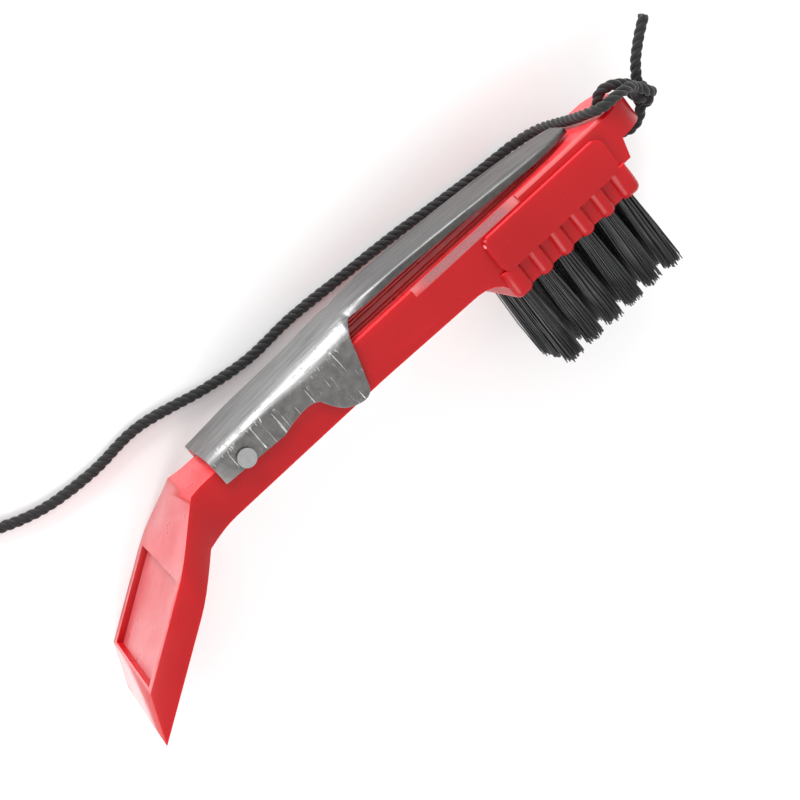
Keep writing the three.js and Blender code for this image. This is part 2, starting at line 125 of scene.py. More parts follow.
class Nodes:
    """A material's node tree, with short calls for the nodes that are used here."""

    def __init__(self, name):
        self.material = bpy.data.materials.new(name)
        self.material.use_nodes = True
        self.tree = self.material.node_tree
        self.tree.nodes.clear()
        self.shader = self.add("ShaderNodeBsdfPrincipled")
        self.link(self.shader, "BSDF", self.add("ShaderNodeOutputMaterial"), "Surface")

    def add(self, kind, **values):
        node = self.tree.nodes.new(kind)
        for key, value in values.items():
            setattr(node, key, value)
        return node

    def link(self, a, out, b, into):
        self.tree.links.new(a.outputs[out], b.inputs[into])

    def coordinates(self, scale=(1, 1, 1), turn=(0, 0, 0)):
        coord = self.add("ShaderNodeTexCoord")
        mapping = self.add("ShaderNodeMapping")
        mapping.inputs["Scale"].default_value = scale
        mapping.inputs["Rotation"].default_value = turn
        self.link(coord, "Object", mapping, "Vector")
        return mapping

    def noise(self, place, scale, detail=4.0, roughness=0.5):
        node = self.add("ShaderNodeTexNoise")
        node.inputs["Scale"].default_value = scale
        node.inputs["Detail"].default_value = detail
        node.inputs["Roughness"].default_value = roughness
        self.link(place, "Vector", node, "Vector")
        return node

    def ramp(self, source, out, stops):
        node = self.add("ShaderNodeValToRGB")
        ramp = node.color_ramp
        while len(ramp.elements) < len(stops):
            ramp.elements.new(0.5)
        for element, (position, color) in zip(ramp.elements, stops):
            element.position = position
            element.color = (*color, 1.0)
        self.link(source, out, node, "Fac")
        return node

    def grey(self, source, out, low, high, start=0.0, end=1.0):
        stops = [(start, (low,) * 3), (end, (high,) * 3)]
        return self.ramp(source, out, stops)

    def facing(self, normal, start, end):
        """Rises from 0 to 1 as the surface turns to face along normal."""
        geometry = self.add("ShaderNodeNewGeometry")
        aligned = self.add("ShaderNodeVectorMath", operation="DOT_PRODUCT")
        self.link(geometry, "Normal", aligned, 0)
        aligned.inputs[1].default_value = normal
        return self.grey(aligned, "Value", 0.0, 1.0, start, end)

    def fade(self, split, start, end):
        """Rises from 0 to 1 between two distances along the bar, in mm."""
        node = self.add("ShaderNodeMapRange")
        self.link(split, "X", node, "Value")
        node.inputs["From Min"].default_value = mm(start, 0, 0).x
        node.inputs["From Max"].default_value = mm(end, 0, 0).x
        return node

    def product(self, a, a_out, b, b_out):
        node = self.add("ShaderNodeMath", operation="MULTIPLY")
        self.link(a, a_out, node, 0)
        self.link(b, b_out, node, 1)
        return node

    def paint(self, under, under_out, mask, mask_out, over):
        """The colour under, with over on top of it by the mask. over is a ramp or a colour."""
        node = self.add("ShaderNodeMix", data_type="RGBA")
        self.link(mask, mask_out, node, MIX_FACTOR)
        self.link(under, under_out, node, COLOR_UNDER)
        if isinstance(over, tuple):
            node.inputs[COLOR_OVER].default_value = (*over, 1.0)
        else:
            self.link(over, "Color", node, COLOR_OVER)
        return node

    def bump(self, source, out, strength, distance, after=None):
        node = self.add("ShaderNodeBump")
        node.inputs["Strength"].default_value = strength
        node.inputs["Distance"].default_value = distance
        self.link(source, out, node, "Height")
        if after is not None:
            self.link(after, "Normal", node, "Normal")
        return node

    def set(self, **values):
        for key, value in values.items():
            self.shader.inputs[key.replace("_", " ")].default_value = value

    def into(self, node, out, socket):
        self.link(node, out, self.shader, socket)


BAND_START, BAND_END = (47.5, 50.5), (70, 67)       # where the matt band and its painted highlight fade in and out
BAND_HALF = 8.4
BAND_ROUGHNESS = 0.6
BAND_NORMAL = (0.0, 0.7071, 0.7071)
BAR_BACK_NORMAL = (0.0, 1.0, 0.0)
HANDLE_BACK_NORMAL = (-0.5547, 0.8321, 0.0)
SCRAPING_NORMAL = (-0.9125, 0.4096, 0.0)


def red_plastic():
    m = Nodes("red_moulded_plastic")
    place = m.coordinates()
    cloud = m.noise(place, 38.0, 3.0)
    color = m.ramp(cloud, "Fac", [
        (0.30, (0.400, 0.0030, 0.0055)),
        (0.55, (0.435, 0.0038, 0.0068)),
        (0.80, (0.465, 0.0055, 0.0090)),
    ])

    # the wide sloping edge of the back is finely matt, and painted a paler stippled pink there
    # as a highlight
    split = m.add("ShaderNodeSeparateXYZ")
    m.link(place, "Vector", split, "Vector")
    inner = m.add("ShaderNodeMath", operation="LESS_THAN")
    m.link(split, "Z", inner, 0)
    inner.inputs[1].default_value = mm(0, 0, BAND_HALF).z
    along = m.product(m.fade(split, *BAND_START), "Result", m.fade(split, *BAND_END), "Result")
    band = m.product(along, "Value", inner, "Value")
    slope = m.facing(BAND_NORMAL, 0.975, 0.995)
    matt_highlight_band = m.product(band, "Value", slope, "Color")
    highlight_stipple = m.noise(place, 4200.0, 2.0)
    painted_highlight = m.ramp(highlight_stipple, "Fac", [(0.35, (0.24, 0.060, 0.065)), (0.65, (0.31, 0.115, 0.12))])
    with_painted_highlight = m.paint(color, "Color", matt_highlight_band, "Value", painted_highlight)

    # painted light and reflection: the back of the bar is painted a brighter red against the
    # shade under the clip's tongue, and the back of the handle and the scraping face are painted
    # paler pink as a reflection
    bar_back = m.facing(BAR_BACK_NORMAL, 0.96, 0.98)
    handle_back = m.facing(HANDLE_BACK_NORMAL, 0.97, 0.99)
    scraping_face = m.facing(SCRAPING_NORMAL, 0.97, 0.99)
    # painted reflection: paler pink in patches on the back of the handle, and all over the
    # scraping face
    reflection_patches = m.grey(m.noise(place, 90.0, 3.0), "Fac", 0.30, 0.60, 0.35, 0.65)
    patchy_reflection = m.product(handle_back, "Color", reflection_patches, "Color")
    back = m.paint(with_painted_highlight, COLOR_RESULT, bar_back, "Color", (0.95, 0.045, 0.055))
    handle = m.paint(back, COLOR_RESULT, patchy_reflection, "Value", (0.62, 0.22, 0.24))
    scraper = m.paint(handle, COLOR_RESULT, scraping_face, "Color", (0.78, 0.40, 0.41))
    m.into(scraper, COLOR_RESULT, "Base Color")

    gloss = m.grey(m.noise(place, 300.0, 4.0, 0.5), "Fac", 0.27, 0.36, 0.30, 0.75)
    rough = m.add("ShaderNodeMix", data_type="FLOAT")
    m.link(matt_highlight_band, "Value", rough, MIX_FACTOR)
    m.link(gloss, "Color", rough, FLOAT_UNDER)
    rough.inputs[FLOAT_OVER].default_value = BAND_ROUGHNESS
    m.into(rough, FLOAT_RESULT, "Roughness")
    flow = m.noise(m.coordinates((0.2, 1.0, 1.0)), 160.0, 2.0)
    m.into(m.bump(flow, "Fac", 0.03, 0.0004), "Normal", "Normal")
    m.set(Subsurface_Weight=0.4, Subsurface_Scale=0.0025, Subsurface_Radius=(1.0, 0.25, 0.15),
          IOR=1.5, Specular_IOR_Level=0.36)
    return m.material


CHANNEL_FADE = (44, 33)                 # painted shade: the tongue is painted darker, and brightens to the channel's colour over this
EAR_NORMAL = (0.0, 0.15, 0.99)


def plated_steel():
    m = Nodes("plated_sheet_steel")
    place = m.coordinates()
    streaks = m.noise(m.coordinates((0.05, 1.0, 1.0)), 1500.0, 4.0, 0.6)
    color = m.ramp(streaks, "Fac", [
        (0.34, (0.205, 0.206, 0.207)),
        (0.50, (0.275, 0.276, 0.275)),
        (0.66, (0.345, 0.345, 0.342)),
    ])
    split = m.add("ShaderNodeSeparateXYZ")
    m.link(place, "Vector", split, "Vector")
    channel = m.fade(split, *CHANNEL_FADE)
    # painted shade: the base colour is scaled to 0.55 on the tongue, rising to 0.92 on the
    # channel
    shade = m.add("ShaderNodeMapRange")
    m.link(channel, "Result", shade, "Value")
    shade.inputs["To Min"].default_value = 0.55
    shade.inputs["To Max"].default_value = 0.92
    mottle = m.ramp(m.noise(place, 620.0, 4.0, 0.65), "Fac", [
        (0.35, (0.170, 0.166, 0.161)),
        (0.65, (0.238, 0.233, 0.227)),
    ])
    grain = m.noise(m.coordinates((0.12, 1.0, 1.0)), 1500.0, 4.0, 0.6)
    m.into(m.grey(grain, "Fac", 0.34, 0.50, 0.25, 0.75), "Color", "Roughness")

    # short scratches across the ears, bright where the plating is scored
    streak = m.noise(m.coordinates((1.0, 0.03, 1.0), turn=(0, 0, 0.10)), 3000.0, 1.0)
    lines = m.grey(streak, "Fac", 0.0, 1.0, 0.60, 0.66)
    where = m.grey(m.noise(place, 210.0, 1.0), "Fac", 0.0, 1.0, 0.50, 0.56)
    on_side = m.facing(EAR_NORMAL, 0.93, 0.98)
    scratch = m.product(
        m.product(lines, "Color", where, "Color"), "Value",
        m.product(on_side, "Color", channel, "Result"), "Value")
    plain = m.paint(color, "Color", on_side, "Color", mottle)
    scored = m.paint(plain, COLOR_RESULT, scratch, "Value", (0.72, 0.72, 0.71))
    tongue_shaded = m.add("ShaderNodeVectorMath", operation="SCALE")
    m.link(scored, COLOR_RESULT, tongue_shaded, 0)
    m.link(shade, "Result", tongue_shaded, "Scale")
    m.into(tongue_shaded, "Vector", "Base Color")

    patches = m.noise(place, 160.0, 4.0, 0.6)
    pits = m.bump(grain, "Fac", 0.10, 0.0001)
    dents = m.grey(m.noise(place, 700.0, 3.0, 0.7), "Fac", 0.0, 1.0, 0.60, 0.68)
    rough = m.bump(patches, "Fac", 0.14, 0.0003, pits)
    pocked = m.bump(dents, "Color", 0.25, 0.0002, rough)
    m.into(m.bump(scratch, "Value", 0.8, 0.00025, pocked), "Normal", "Normal")
    m.set(Metallic=1.0)
    return m.material


def bright_steel(name, shade, roughness):
    m = Nodes(name)
    place = m.coordinates()
    tint = m.noise(place, 500.0, 4.0)
    low = tuple(c * 0.8 for c in shade)
    m.into(m.ramp(tint, "Fac", [(0.35, low), (0.7, shade)]), "Color", "Base Color")
    turned = m.noise(m.coordinates((1.0, 1.0, 8.0)), 2400.0, 2.0)
    m.into(m.grey(turned, "Fac", roughness * 0.8, roughness * 1.3, 0.3, 0.7),
           "Color", "Roughness")
    m.into(m.bump(turned, "Fac", 0.08, 0.0001), "Normal", "Normal")
    m.set(Metallic=1.0)
    return m.material


def nylon():
    m = Nodes("black_nylon_filament")
    place = m.coordinates((1.0, 0.02, 1.0))
    strand = m.noise(place, 3800.0, 1.0)
    color = m.ramp(strand, "Fac", [
        (0.35, (0.012, 0.012, 0.013)),
        (0.58, (0.024, 0.024, 0.026)),
        (0.74, (0.085, 0.085, 0.089)),
    ])
    m.into(color, "Color", "Base Color")
    m.into(m.grey(strand, "Fac", 0.28, 0.50, 0.3, 0.7), "Color", "Roughness")
    m.set(Specular_IOR_Level=0.6)
    return m.material


def cord_material():
    m = Nodes("black_twisted_cord")
    coord = m.add("ShaderNodeUVMap")
    coord.uv_map = "strand"
    wave = m.add("ShaderNodeTexWave", wave_type="BANDS", bands_direction="DIAGONAL")
    wave.inputs["Scale"].default_value = 3.2
    wave.inputs["Distortion"].default_value = 2.5
    wave.inputs["Detail"].default_value = 3.0
    m.link(coord, "UV", wave, "Vector")
    color = m.ramp(wave, "Fac", [
        (0.10, (0.008, 0.008, 0.009)),
        (0.60, (0.026, 0.026, 0.029)),
        (0.95, (0.048, 0.047, 0.052)),
    ])
    m.into(color, "Color", "Base Color")
    fuzz = m.noise(m.coordinates(), 5200.0, 3.0)
    m.into(m.grey(fuzz, "Fac", 0.75, 0.98), "Color", "Roughness")
    fibre = m.bump(wave, "Fac", 0.55, 0.0002)
    m.into(m.bump(fuzz, "Fac", 0.35, 0.0001, fibre), "Normal", "Normal")
    m.set(Sheen_Weight=0.25, Sheen_Roughness=0.5)
    return m.material


RED = red_plastic()
STEEL = plated_steel()
PIN_STEEL = bright_steel("turned_pin_steel", (0.55, 0.55, 0.56), 0.28)
SPRING_STEEL = bright_steel("spring_wire_steel", (0.36, 0.36, 0.37), 0.32)
ANCHOR_BRASS = bright_steel("anchor_wire_brass", (0.60, 0.42, 0.16), 0.35)
# painted light: the inside of the sheet is painted far brighter than its outside, to throw light
# into the shade under the tongue
SHEET_INSIDE_PAINTED_BRIGHT = bright_steel("plated_steel_inside_painted_bright", (0.88, 0.88, 0.87), 0.45)
NYLON = nylon()
CORD = cord_material()


def wear(obj, material):
    obj.data.materials.clear()
    obj.data.materials.append(material)


def add_mesh(name, bm, material, shade_smooth=True):
    data = bpy.data.meshes.new(name)
    bm.to_mesh(data)
    bm.free()
    obj = bpy.data.objects.new(name, data)
    bpy.context.scene.collection.objects.link(obj)
    wear(obj, material)
    for face in data.polygons:
        face.use_smooth = shade_smooth
    return obj


def skin(bm, rings):
    """Makes a closed tube of rings of vertices."""
    for a, b in zip(rings, rings[1:]):
        for k in range(len(a)):
            k2 = (k + 1) % len(a)
            bm.faces.new((a[k], a[k2], b[k2], b[k]))
    bm.faces.new(list(reversed(rings[0])))
    bm.faces.new(rings[-1])


# ------------------------------------------------------------------ cord

CORD_DIAMETER = 0.0019
CORD_LENGTH = 0.400
STRAND_PITCH = 0.0046
CORD_LOW = -HANDLE_HALF + 1.0           # centreline of a cord on the floor
CORD_TAIL = [(110.6, 12.1, 4.0), (107.8, 9.8, 3.6), (104.9, 6.8, 3.0), (103.6, 4.6, 2.4)]
KNOT = (102.3, 1.4, 1.6)
CORD_LOOP = [
    (100.6, -1.2, 1.3), (98.8, -2.3, 0.9), (97.0, -2.4, 0.4), (95.6, -1.6, 0.1), (95.3, 0.4, 0),
    (95.3, 3.6, 0), (95.6, 5.3, 0.3), (96.9, 6.4, 1.1), (99.0, 6.15, 1.7), (101.1, 4.7, 1.8),
]
KNOT_TURN = [(103.1, 2.5, 0.5), (104.0, 0.8, 1.2), (103.8, 0.7, 3.2), (102.7, 2.0, 4.5)]
CORD_RUN = [
    (101.2, 3.9, 5.2), (99.0, 5.4, 7.6), (96.0, 6.0, 8.7), (92.8, 6.2, 8.4), (90.8, 6.4, 5.4),
    (89.6, 6.2, 0.2), (88.5, 6.2, -5.2), (86.8, 6.2, -10.4), (83.4, 6.0, -14.4),
    (79.0, 6.0, CORD_LOW + 0.2), (73.0, 6.3, CORD_LOW), (65.0, 7.1, CORD_LOW),
    (57.0, 8.0, CORD_LOW), (43.0, 9.0, CORD_LOW), (31.0, 9.7, CORD_LOW), (21.0, 9.4, CORD_LOW),
    (12.0, 10.6, CORD_LOW), (-2.0, 13.7, CORD_LOW), (-13.0, 13.2, CORD_LOW),
    (-24.0, 14.4, CORD_LOW), (-34.0, 18.4, CORD_LOW), (-41.0, 22.4, CORD_LOW),
]
COIL_CENTRE = (-54.5, 15.5)
COIL_INNER, COIL_OUTER = 9.6, 11.5      # radii of the two rings of turns
COIL_LAYER = 1.75                       # height of one layer on the next
COIL_ENTRY = (-47.6, 25.2, CORD_LOW)
COIL_START = math.radians(92)
COIL_STAY, COIL_CHANGE = 0.72, 0.28     # shares of a turn on one ring and over to the next
COIL_SWAY, COIL_WAVES = 0.12, 5.1
COIL_STEPS = 28                         # points in a turn
CORD_STEP = 0.38                        # between the points of the finished line
DRAWN_STEP = 0.4                        # between the points of its drawn parts
SPLINE_STEPS = 24
STRAND_OFFSET, STRAND_RADIUS = 0.262, 0.285         # as shares of the cord's diameter
STRAND_SWELL = 0.05
KNOT_STEPS = 220
KNOT_WIDE, KNOT_LONG, KNOT_DEEP = 0.44, 0.58, 1.05
KNOT_LIFT, KNOT_PULL = 0.5, 0.95        # the cord is pulled a little thinner in its knot
JOIN_REACH = 0.35
STRAND_REPEAT = 6


def spline_points(points, step):
    """A smooth line through the points, resampled at equal steps."""
    points = [Vector(p) for p in points]
    points = [2 * points[0] - points[1]] + points + [2 * points[-1] - points[-2]]
    dense = []
    for p0, p1, p2, p3 in zip(points, points[1:], points[2:], points[3:]):
        gaps = [max((b - a).length, 1e-9) ** 0.5 for a, b in ((p0, p1), (p1, p2), (p2, p3))]
        m1 = (p1 - p0) / gaps[0] - (p2 - p0) / (gaps[0] + gaps[1]) + (p2 - p1) / gaps[1]
        m2 = (p2 - p1) / gaps[1] - (p3 - p1) / (gaps[1] + gaps[2]) + (p3 - p2) / gaps[2]
        m1 *= gaps[1]
        m2 *= gaps[1]
        for i in range(SPLINE_STEPS):
            t = i / SPLINE_STEPS
            a = 2 * t**3 - 3 * t**2 + 1
            b = t**3 - 2 * t**2 + t
            c = -2 * t**3 + 3 * t**2
            d = t**3 - t**2
            dense.append(p1 * a + m1 * b + p2 * c + m2 * d)
    dense.append(points[-2])
    return resample(dense, step)


def resample(line, step):
    lengths = [0.0]
    for a, b in zip(line, line[1:]):
        lengths.append(lengths[-1] + (b - a).length)
    count = max(2, round(lengths[-1] / step))
    out, j = [], 0
    for i in range(count + 1):
        want = lengths[-1] * i / count
        while j < len(line) - 2 and lengths[j + 1] < want:
            j += 1
        span = max(lengths[j + 1] - lengths[j], 1e-12)
        out.append(line[j].lerp(line[j + 1], (want - lengths[j]) / span))
    return out


def line_length(line):
    return sum((b - a).length for a, b in zip(line, line[1:]))


def coil_points(used):
    """The turns that hold the rest of the cord: outer ring, inner ring, then up a layer."""
    mean = (COIL_INNER + COIL_OUTER) / 2
    turns = (CORD_LENGTH * 1000 - used) / (2 * math.pi * mean)
    rings = [(COIL_OUTER, 0), (COIL_INNER, 0), (COIL_INNER, 1), (COIL_OUTER, 1), (COIL_OUTER, 2)]
    points = []
    steps = int(turns * COIL_STEPS)
    for i in range(steps + 1):
        turn = turns * i / steps
        ring = min(int(turn), len(rings) - 2)
        blend = smooth((turn - ring - COIL_STAY) / COIL_CHANGE)
        radius = lerp(rings[ring][0], rings[ring + 1][0], blend)
        layer = lerp(rings[ring][1], rings[ring + 1][1], blend)
        if turn > 0.1:
            radius += COIL_SWAY * math.sin(COIL_WAVES * turn)
        angle = COIL_START + 2 * math.pi * turn
        points.append((
            COIL_CENTRE[0] + radius * math.cos(angle),
            COIL_CENTRE[1] + radius * math.sin(angle),
            CORD_LOW + COIL_LAYER * layer,
        ))
    return points


def twist_frames(line):
    """Right and up vectors that follow the line without spinning."""
    tangents = []
    for i in range(len(line)):
        a, b = line[max(i - 1, 0)], line[min(i + 1, len(line) - 1)]
        tangents.append((b - a).normalized())
    up = tangents[0].orthogonal().normalized()
    frames = []
    for tangent in tangents:
        up = (up - tangent * up.dot(tangent)).normalized()
        frames.append((up, tangent.cross(up)))
    return frames


def strand_tubes(bm, line, diameter, pitch, strands=3, sides=9):
    """Twists strands about the line. Lengths are in the line's own unit."""
    uv = bm.loops.layers.uv.verify()
    frames = twist_frames(line)
    offset, radius = diameter * STRAND_OFFSET, diameter * STRAND_RADIUS
    step = line_length(line) / (len(line) - 1)
    for s in range(strands):
        rings = []
        centre_line = []
        for i, (point, (up, side)) in enumerate(zip(line, frames)):
            angle = 2 * math.pi * (i * step / pitch + s / strands)
            centre_line.append(point + (up * math.cos(angle) + side * math.sin(angle)) * offset)
        strand_frames = twist_frames(centre_line)
        for i, (point, (up, side)) in enumerate(zip(centre_line, strand_frames)):
            ring = []
            for k in range(sides):
                angle = 2 * math.pi * k / sides
                swell = radius * (1 + STRAND_SWELL * math.sin(3 * angle + i * 0.9 + s))
                ring.append(bm.verts.new(
                    point + (up * math.cos(angle) + side * math.sin(angle)) * swell))
            rings.append(ring)
        for i, (a, b) in enumerate(zip(rings, rings[1:])):
            for k in range(sides):
                k2 = (k + 1) % sides
                face = bm.faces.new((a[k], a[k2], b[k2], b[k]))
                corners = ((k, i), (k + 1, i), (k + 1, i + 1), (k, i + 1))
                for loop, (u, v) in zip(face.loops, corners):
                    loop[uv].uv = (u / sides, v * step / pitch * STRAND_REPEAT)
        bm.faces.new(list(reversed(rings[0])))
        bm.faces.new(rings[-1])


def in_frame(line):
    return [mm(*p) for p in line]


def add_cord():
    laid = spline_points(CORD_TAIL + [KNOT] + CORD_LOOP + KNOT_TURN + CORD_RUN, DRAWN_STEP)
    turns = coil_points(line_length(laid))
    joined = spline_points(CORD_RUN[-3:] + [COIL_ENTRY] + turns[2:], DRAWN_STEP)
    end = Vector(CORD_RUN[-1])
    start = next(i for i, p in enumerate(joined) if (p - end).length < JOIN_REACH)
    line = in_frame(resample(laid + joined[start + 1:], CORD_STEP))

    bm = bmesh.new()
    strand_tubes(bm, line, CORD_DIAMETER, STRAND_PITCH)
    bmesh.ops.recalc_face_normals(bm, faces=bm.faces)
    cord = add_mesh("twisted_cord", bm, CORD)

    bm = bmesh.new()
    wraps = []
    for i in range(KNOT_STEPS):
        t = 2 * math.pi * i / (KNOT_STEPS - 1)
        wraps.append((
            KNOT[0] + KNOT_WIDE * (math.sin(t) + 2 * math.sin(2 * t)),
            KNOT[1] + KNOT_LONG * (math.cos(t) - 2 * math.cos(2 * t)),
            KNOT[2] + KNOT_LIFT - KNOT_DEEP * math.sin(3 * t),
        ))
    strand_tubes(bm, in_frame(wraps), CORD_DIAMETER * KNOT_PULL, STRAND_PITCH)
    bmesh.ops.recalc_face_normals(bm, faces=bm.faces)
    knot = add_mesh("cord_overhand_knot", bm, CORD)

    for piece in (cord, knot):
        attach(piece, "brush")
    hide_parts("cord_loop", "cord_tail", "cord_run", "cord_coil")
    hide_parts("cord_knot")


add_cord()

# ------------------------------------------------------------------ body

BODY_ROUND = 0.0006
SHARP_EDGE = math.radians(35)
EYELET_X, EYELET_ROUND = 95.3, 1.9


def edge_roundness(edge, place):
    """How wide an edge's rounding is, as a share of BODY_ROUND, by where it lies."""
    if len(edge.link_faces) != 2 or edge.calc_face_angle() < SHARP_EDGE:
        return 0.0
    x, y, z = place
    if y > 4.9 and abs(z) < 6.5 and 13.5 < x < 80.5:
        return 0.12                     # ribs
    if y < -4.5 and abs(z) < 8.0 and 59.5 < x < 90.5 and abs(y + 9.2) < 4.8:
        return 0.15                     # tuft holes
    if (x - EYELET_X) ** 2 + z * z < EYELET_ROUND ** 2:
        return 0.5                      # eyelet
    if x > 60.5 and abs(z) > 8.3:
        return 1.0                      # block and skirt
    return 0.55


def add_body():
    source = nodes["body"]
    bm = bmesh.new()
    bm.from_mesh(source.data)
    bmesh.ops.remove_doubles(bm, verts=bm.verts, dist=1e-6)
    bmesh.ops.dissolve_limit(
        bm, angle_limit=math.radians(1.0), verts=bm.verts, edges=bm.edges)
    weight = bm.edges.layers.float.new("bevel_weight_edge")
    for edge in bm.edges:
        middle = (edge.verts[0].co + edge.verts[1].co) / 2
        edge[weight] = edge_roundness(edge, (middle - DATUM) * 1000)
    body = add_mesh("moulded_body", bm, RED)
    bevel = body.modifiers.new("edges", "BEVEL")
    bevel.width = BODY_ROUND
    bevel.segments = 3
    bevel.limit_method = "WEIGHT"
    bevel.harden_normals = True
    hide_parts("body")
    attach(body, "brush")


add_body()

# ------------------------------------------------------------------ tufts

FILAMENTS = 130
FILAMENT_RADIUS = 0.00011
FILAMENT_SIDES = 5
TUFT_ROOT_Y, TUFT_MOUTH_Y, TUFT_TIP_Y = -5.4, -9.2, -24.7
TUFT_SPREAD = 1.3                       # a tuft's tip is this much wider than its root
TUFT_LEAN = 0.02                        # the outer tufts lean in by this share
MIDDLE_TUFT_X = 75
GOLDEN_ANGLE = 2.39996
TURN_SPREAD = 0.25                      # how far a filament strays round from its place
LEAN_SPREAD = 0.00018
BOW_SPREAD = 0.00012
TIP_SPREAD = 0.0006
TIP_REACH = 0.0003
LONG_SHARE = 0.10                       # this many filaments stand out past the others
LONG_REACH = (0.0002, 0.0006)
ROOT_FILL, MOUTH_FILL, TIP_FILL = 0.9, 0.93, 0.95
MIDDLE_SPLAY = 0.62
TUFT_SEED = 11


def add_tuft(name, rng):
    low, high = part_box(name)
    centre = Vector(((low.x + high.x) / 2, 0, (low.z + high.z) / 2))
    splay = (high.x - low.x) / 2
    root_radius = splay / TUFT_SPREAD
    gather = (mm(MIDDLE_TUFT_X, 0, 0).x - centre.x) * TUFT_LEAN
    root, mouth, tip = (mm(0, y, 0).y for y in (TUFT_ROOT_Y, TUFT_MOUTH_Y, TUFT_TIP_Y))
    bm = bmesh.new()
    for i in range(FILAMENTS):
        r = math.sqrt((i + 0.5) / FILAMENTS)
        a = i * GOLDEN_ANGLE + rng.uniform(-TURN_SPREAD, TURN_SPREAD)
        spread = Vector((math.cos(a), 0, math.sin(a))) * r
        lean = Vector((rng.gauss(0, LEAN_SPREAD), 0, rng.gauss(0, LEAN_SPREAD)))
        end_y = tip + abs(rng.gauss(0, TIP_SPREAD)) - rng.uniform(0, TIP_REACH)
        if rng.random() < LONG_SHARE:
            end_y -= rng.uniform(*LONG_REACH)
        stations = (
            (root, root_radius * ROOT_FILL),
            (mouth, root_radius * MOUTH_FILL),
            (lerp(mouth, tip, 0.5), lerp(root_radius, splay, MIDDLE_SPLAY)),
            (end_y, splay * TIP_FILL),
        )
        bow = Vector((rng.gauss(0, BOW_SPREAD), 0, rng.gauss(0, BOW_SPREAD)))
        rings = []
        for k, (y, radius) in enumerate(stations):
            t = k / (len(stations) - 1)
            p = centre + spread * radius + lean * t * t + bow * math.sin(math.pi * t)
            p.x += gather * t
            p.y = y
            ring = []
            for s in range(FILAMENT_SIDES):
                b = 2 * math.pi * s / FILAMENT_SIDES
                ring.append(bm.verts.new(
                    p + Vector((math.cos(b), 0, math.sin(b))) * FILAMENT_RADIUS))
            rings.append(ring)
        skin(bm, rings)
    bmesh.ops.recalc_face_normals(bm, faces=bm.faces)
    tuft = add_mesh(f"filaments_{name}", bm, NYLON)
    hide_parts(name)
    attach(tuft, "brush")


rng = random.Random(TUFT_SEED)
for name in sorted(n for n in nodes if n.startswith("tuft_")):
    add_tuft(name, rng)

# ------------------------------------------------------------------ clip lever

SHEET = 0.6
CLIP_HALF = 9.3
CLIP_START, CLIP_END = 1.7, 86.8
CLIP_CORNER, EAR_CORNER, TONGUE_CORNER = 2.4, 5.0, 0.8
TONGUE_HALF, TONGUE_TIP_HALF = 7.0, 2.0
TIP_START = 62.0
EAR_FRONT, TONGUE_FLAT = 34.3, 8.0
SHOULDER, SHOULDER_LEAD = 2.6, 0.8
TONGUE_DROOP = 1.4
TAIL_TOP, EAR_TOP, TIP_TOP = 7.7, 9.9, 6.8
TIP_ROUND, TIP_BLUNT = 2.6, 0.985       # the power of the tip's curve, and where it stops
BEAD_HEIGHT, BEAD_INSET, BEAD_WIDTH = 0.18, 0.95, 0.33
BEAD_START, BEAD_RISE, BEAD_END, BEAD_FALL = 39, 6, 84, 4
EAR_BEGINS, EAR_GROWS = 10, 16          # where the channel's corner widens to the ear's
TONGUE_BEGINS, TONGUE_SETTLES = 33.5, 9
ACROSS_SIDE = 30                        # points up each side
ACROSS_BACK = (0.0, 0.35, 0.65, 0.95, 1.25, 1.6, 2.0, 2.6, 3.4, 4.4)
BACK_NEEDS = 5.2                        # a narrower back has its points closer together
ARC_LIMIT = 0.97
SHEET_EDGE = 0.00012


def clip_top(x):
    if x < EAR_FRONT:
        return lerp(TAIL_TOP, EAR_TOP, (x - CLIP_START) / (EAR_FRONT - CLIP_START))
    start = EAR_FRONT + TONGUE_FLAT
    t = max(0.0, (x - start) / (CLIP_END - start))
    return EAR_TOP - (EAR_TOP - TIP_TOP) * t**TONGUE_DROOP


def clip_half(x):
    shoulder = lerp(CLIP_HALF, TONGUE_HALF, smooth((x - EAR_FRONT + SHOULDER_LEAD) / SHOULDER))
    t = max(0.0, (x - TIP_START) / (CLIP_END - TIP_START))
    tip = 1 - math.sqrt(max(0.0, 1 - (TIP_BLUNT * t) ** TIP_ROUND))
    return lerp(shoulder, TONGUE_TIP_HALF, tip)


def quadratic(a, b, c, count=10):
    return [
        (a[0] * (1 - t) ** 2 + 2 * b[0] * t * (1 - t) + c[0] * t * t,
         a[1] * (1 - t) ** 2 + 2 * b[1] * t * (1 - t) + c[1] * t * t)
        for t in (i / count for i in range(count + 1))
    ]


def clip_lower_edge():
    """The edge that the press tool leaves along each side of the lever."""
    edge = [(CLIP_START, 2.4), (5.9, 2.2), (10.1, 2.0)]
    edge += quadratic((14.3, 1.8), (20.6, 3.6), (22.4, 1.9))
    edge += quadratic((22.4, 1.9), (24.0, -1.4), (25.4, -2.2))[1:]
    edge += quadratic((25.4, -2.2), (29.9, -4.6), (30.6, -1.2), 16)[1:]
    edge += [(31.2, 0.6), (31.8, 2.4), (32.4, 4.2)]
    edge += quadratic((32.4, 4.2), (33.2, 7.6), (35.2, 8.3))[1:]
    edge += [(35.7, 8.3), (36.3, 8.31), (38.0, 8.32), (40.0, 8.33), (43.0, 8.34)]
    edge += quadratic((46.0, 8.35), (62.0, 7.5), (78.0, 6.2), 16)
    edge += [(80.5, 6.06), (83.0, 5.93), (85.0, 5.82), (86.0, 5.77), (86.5, 5.74)]
    edge += [(CLIP_END, 5.7)]
    return edge


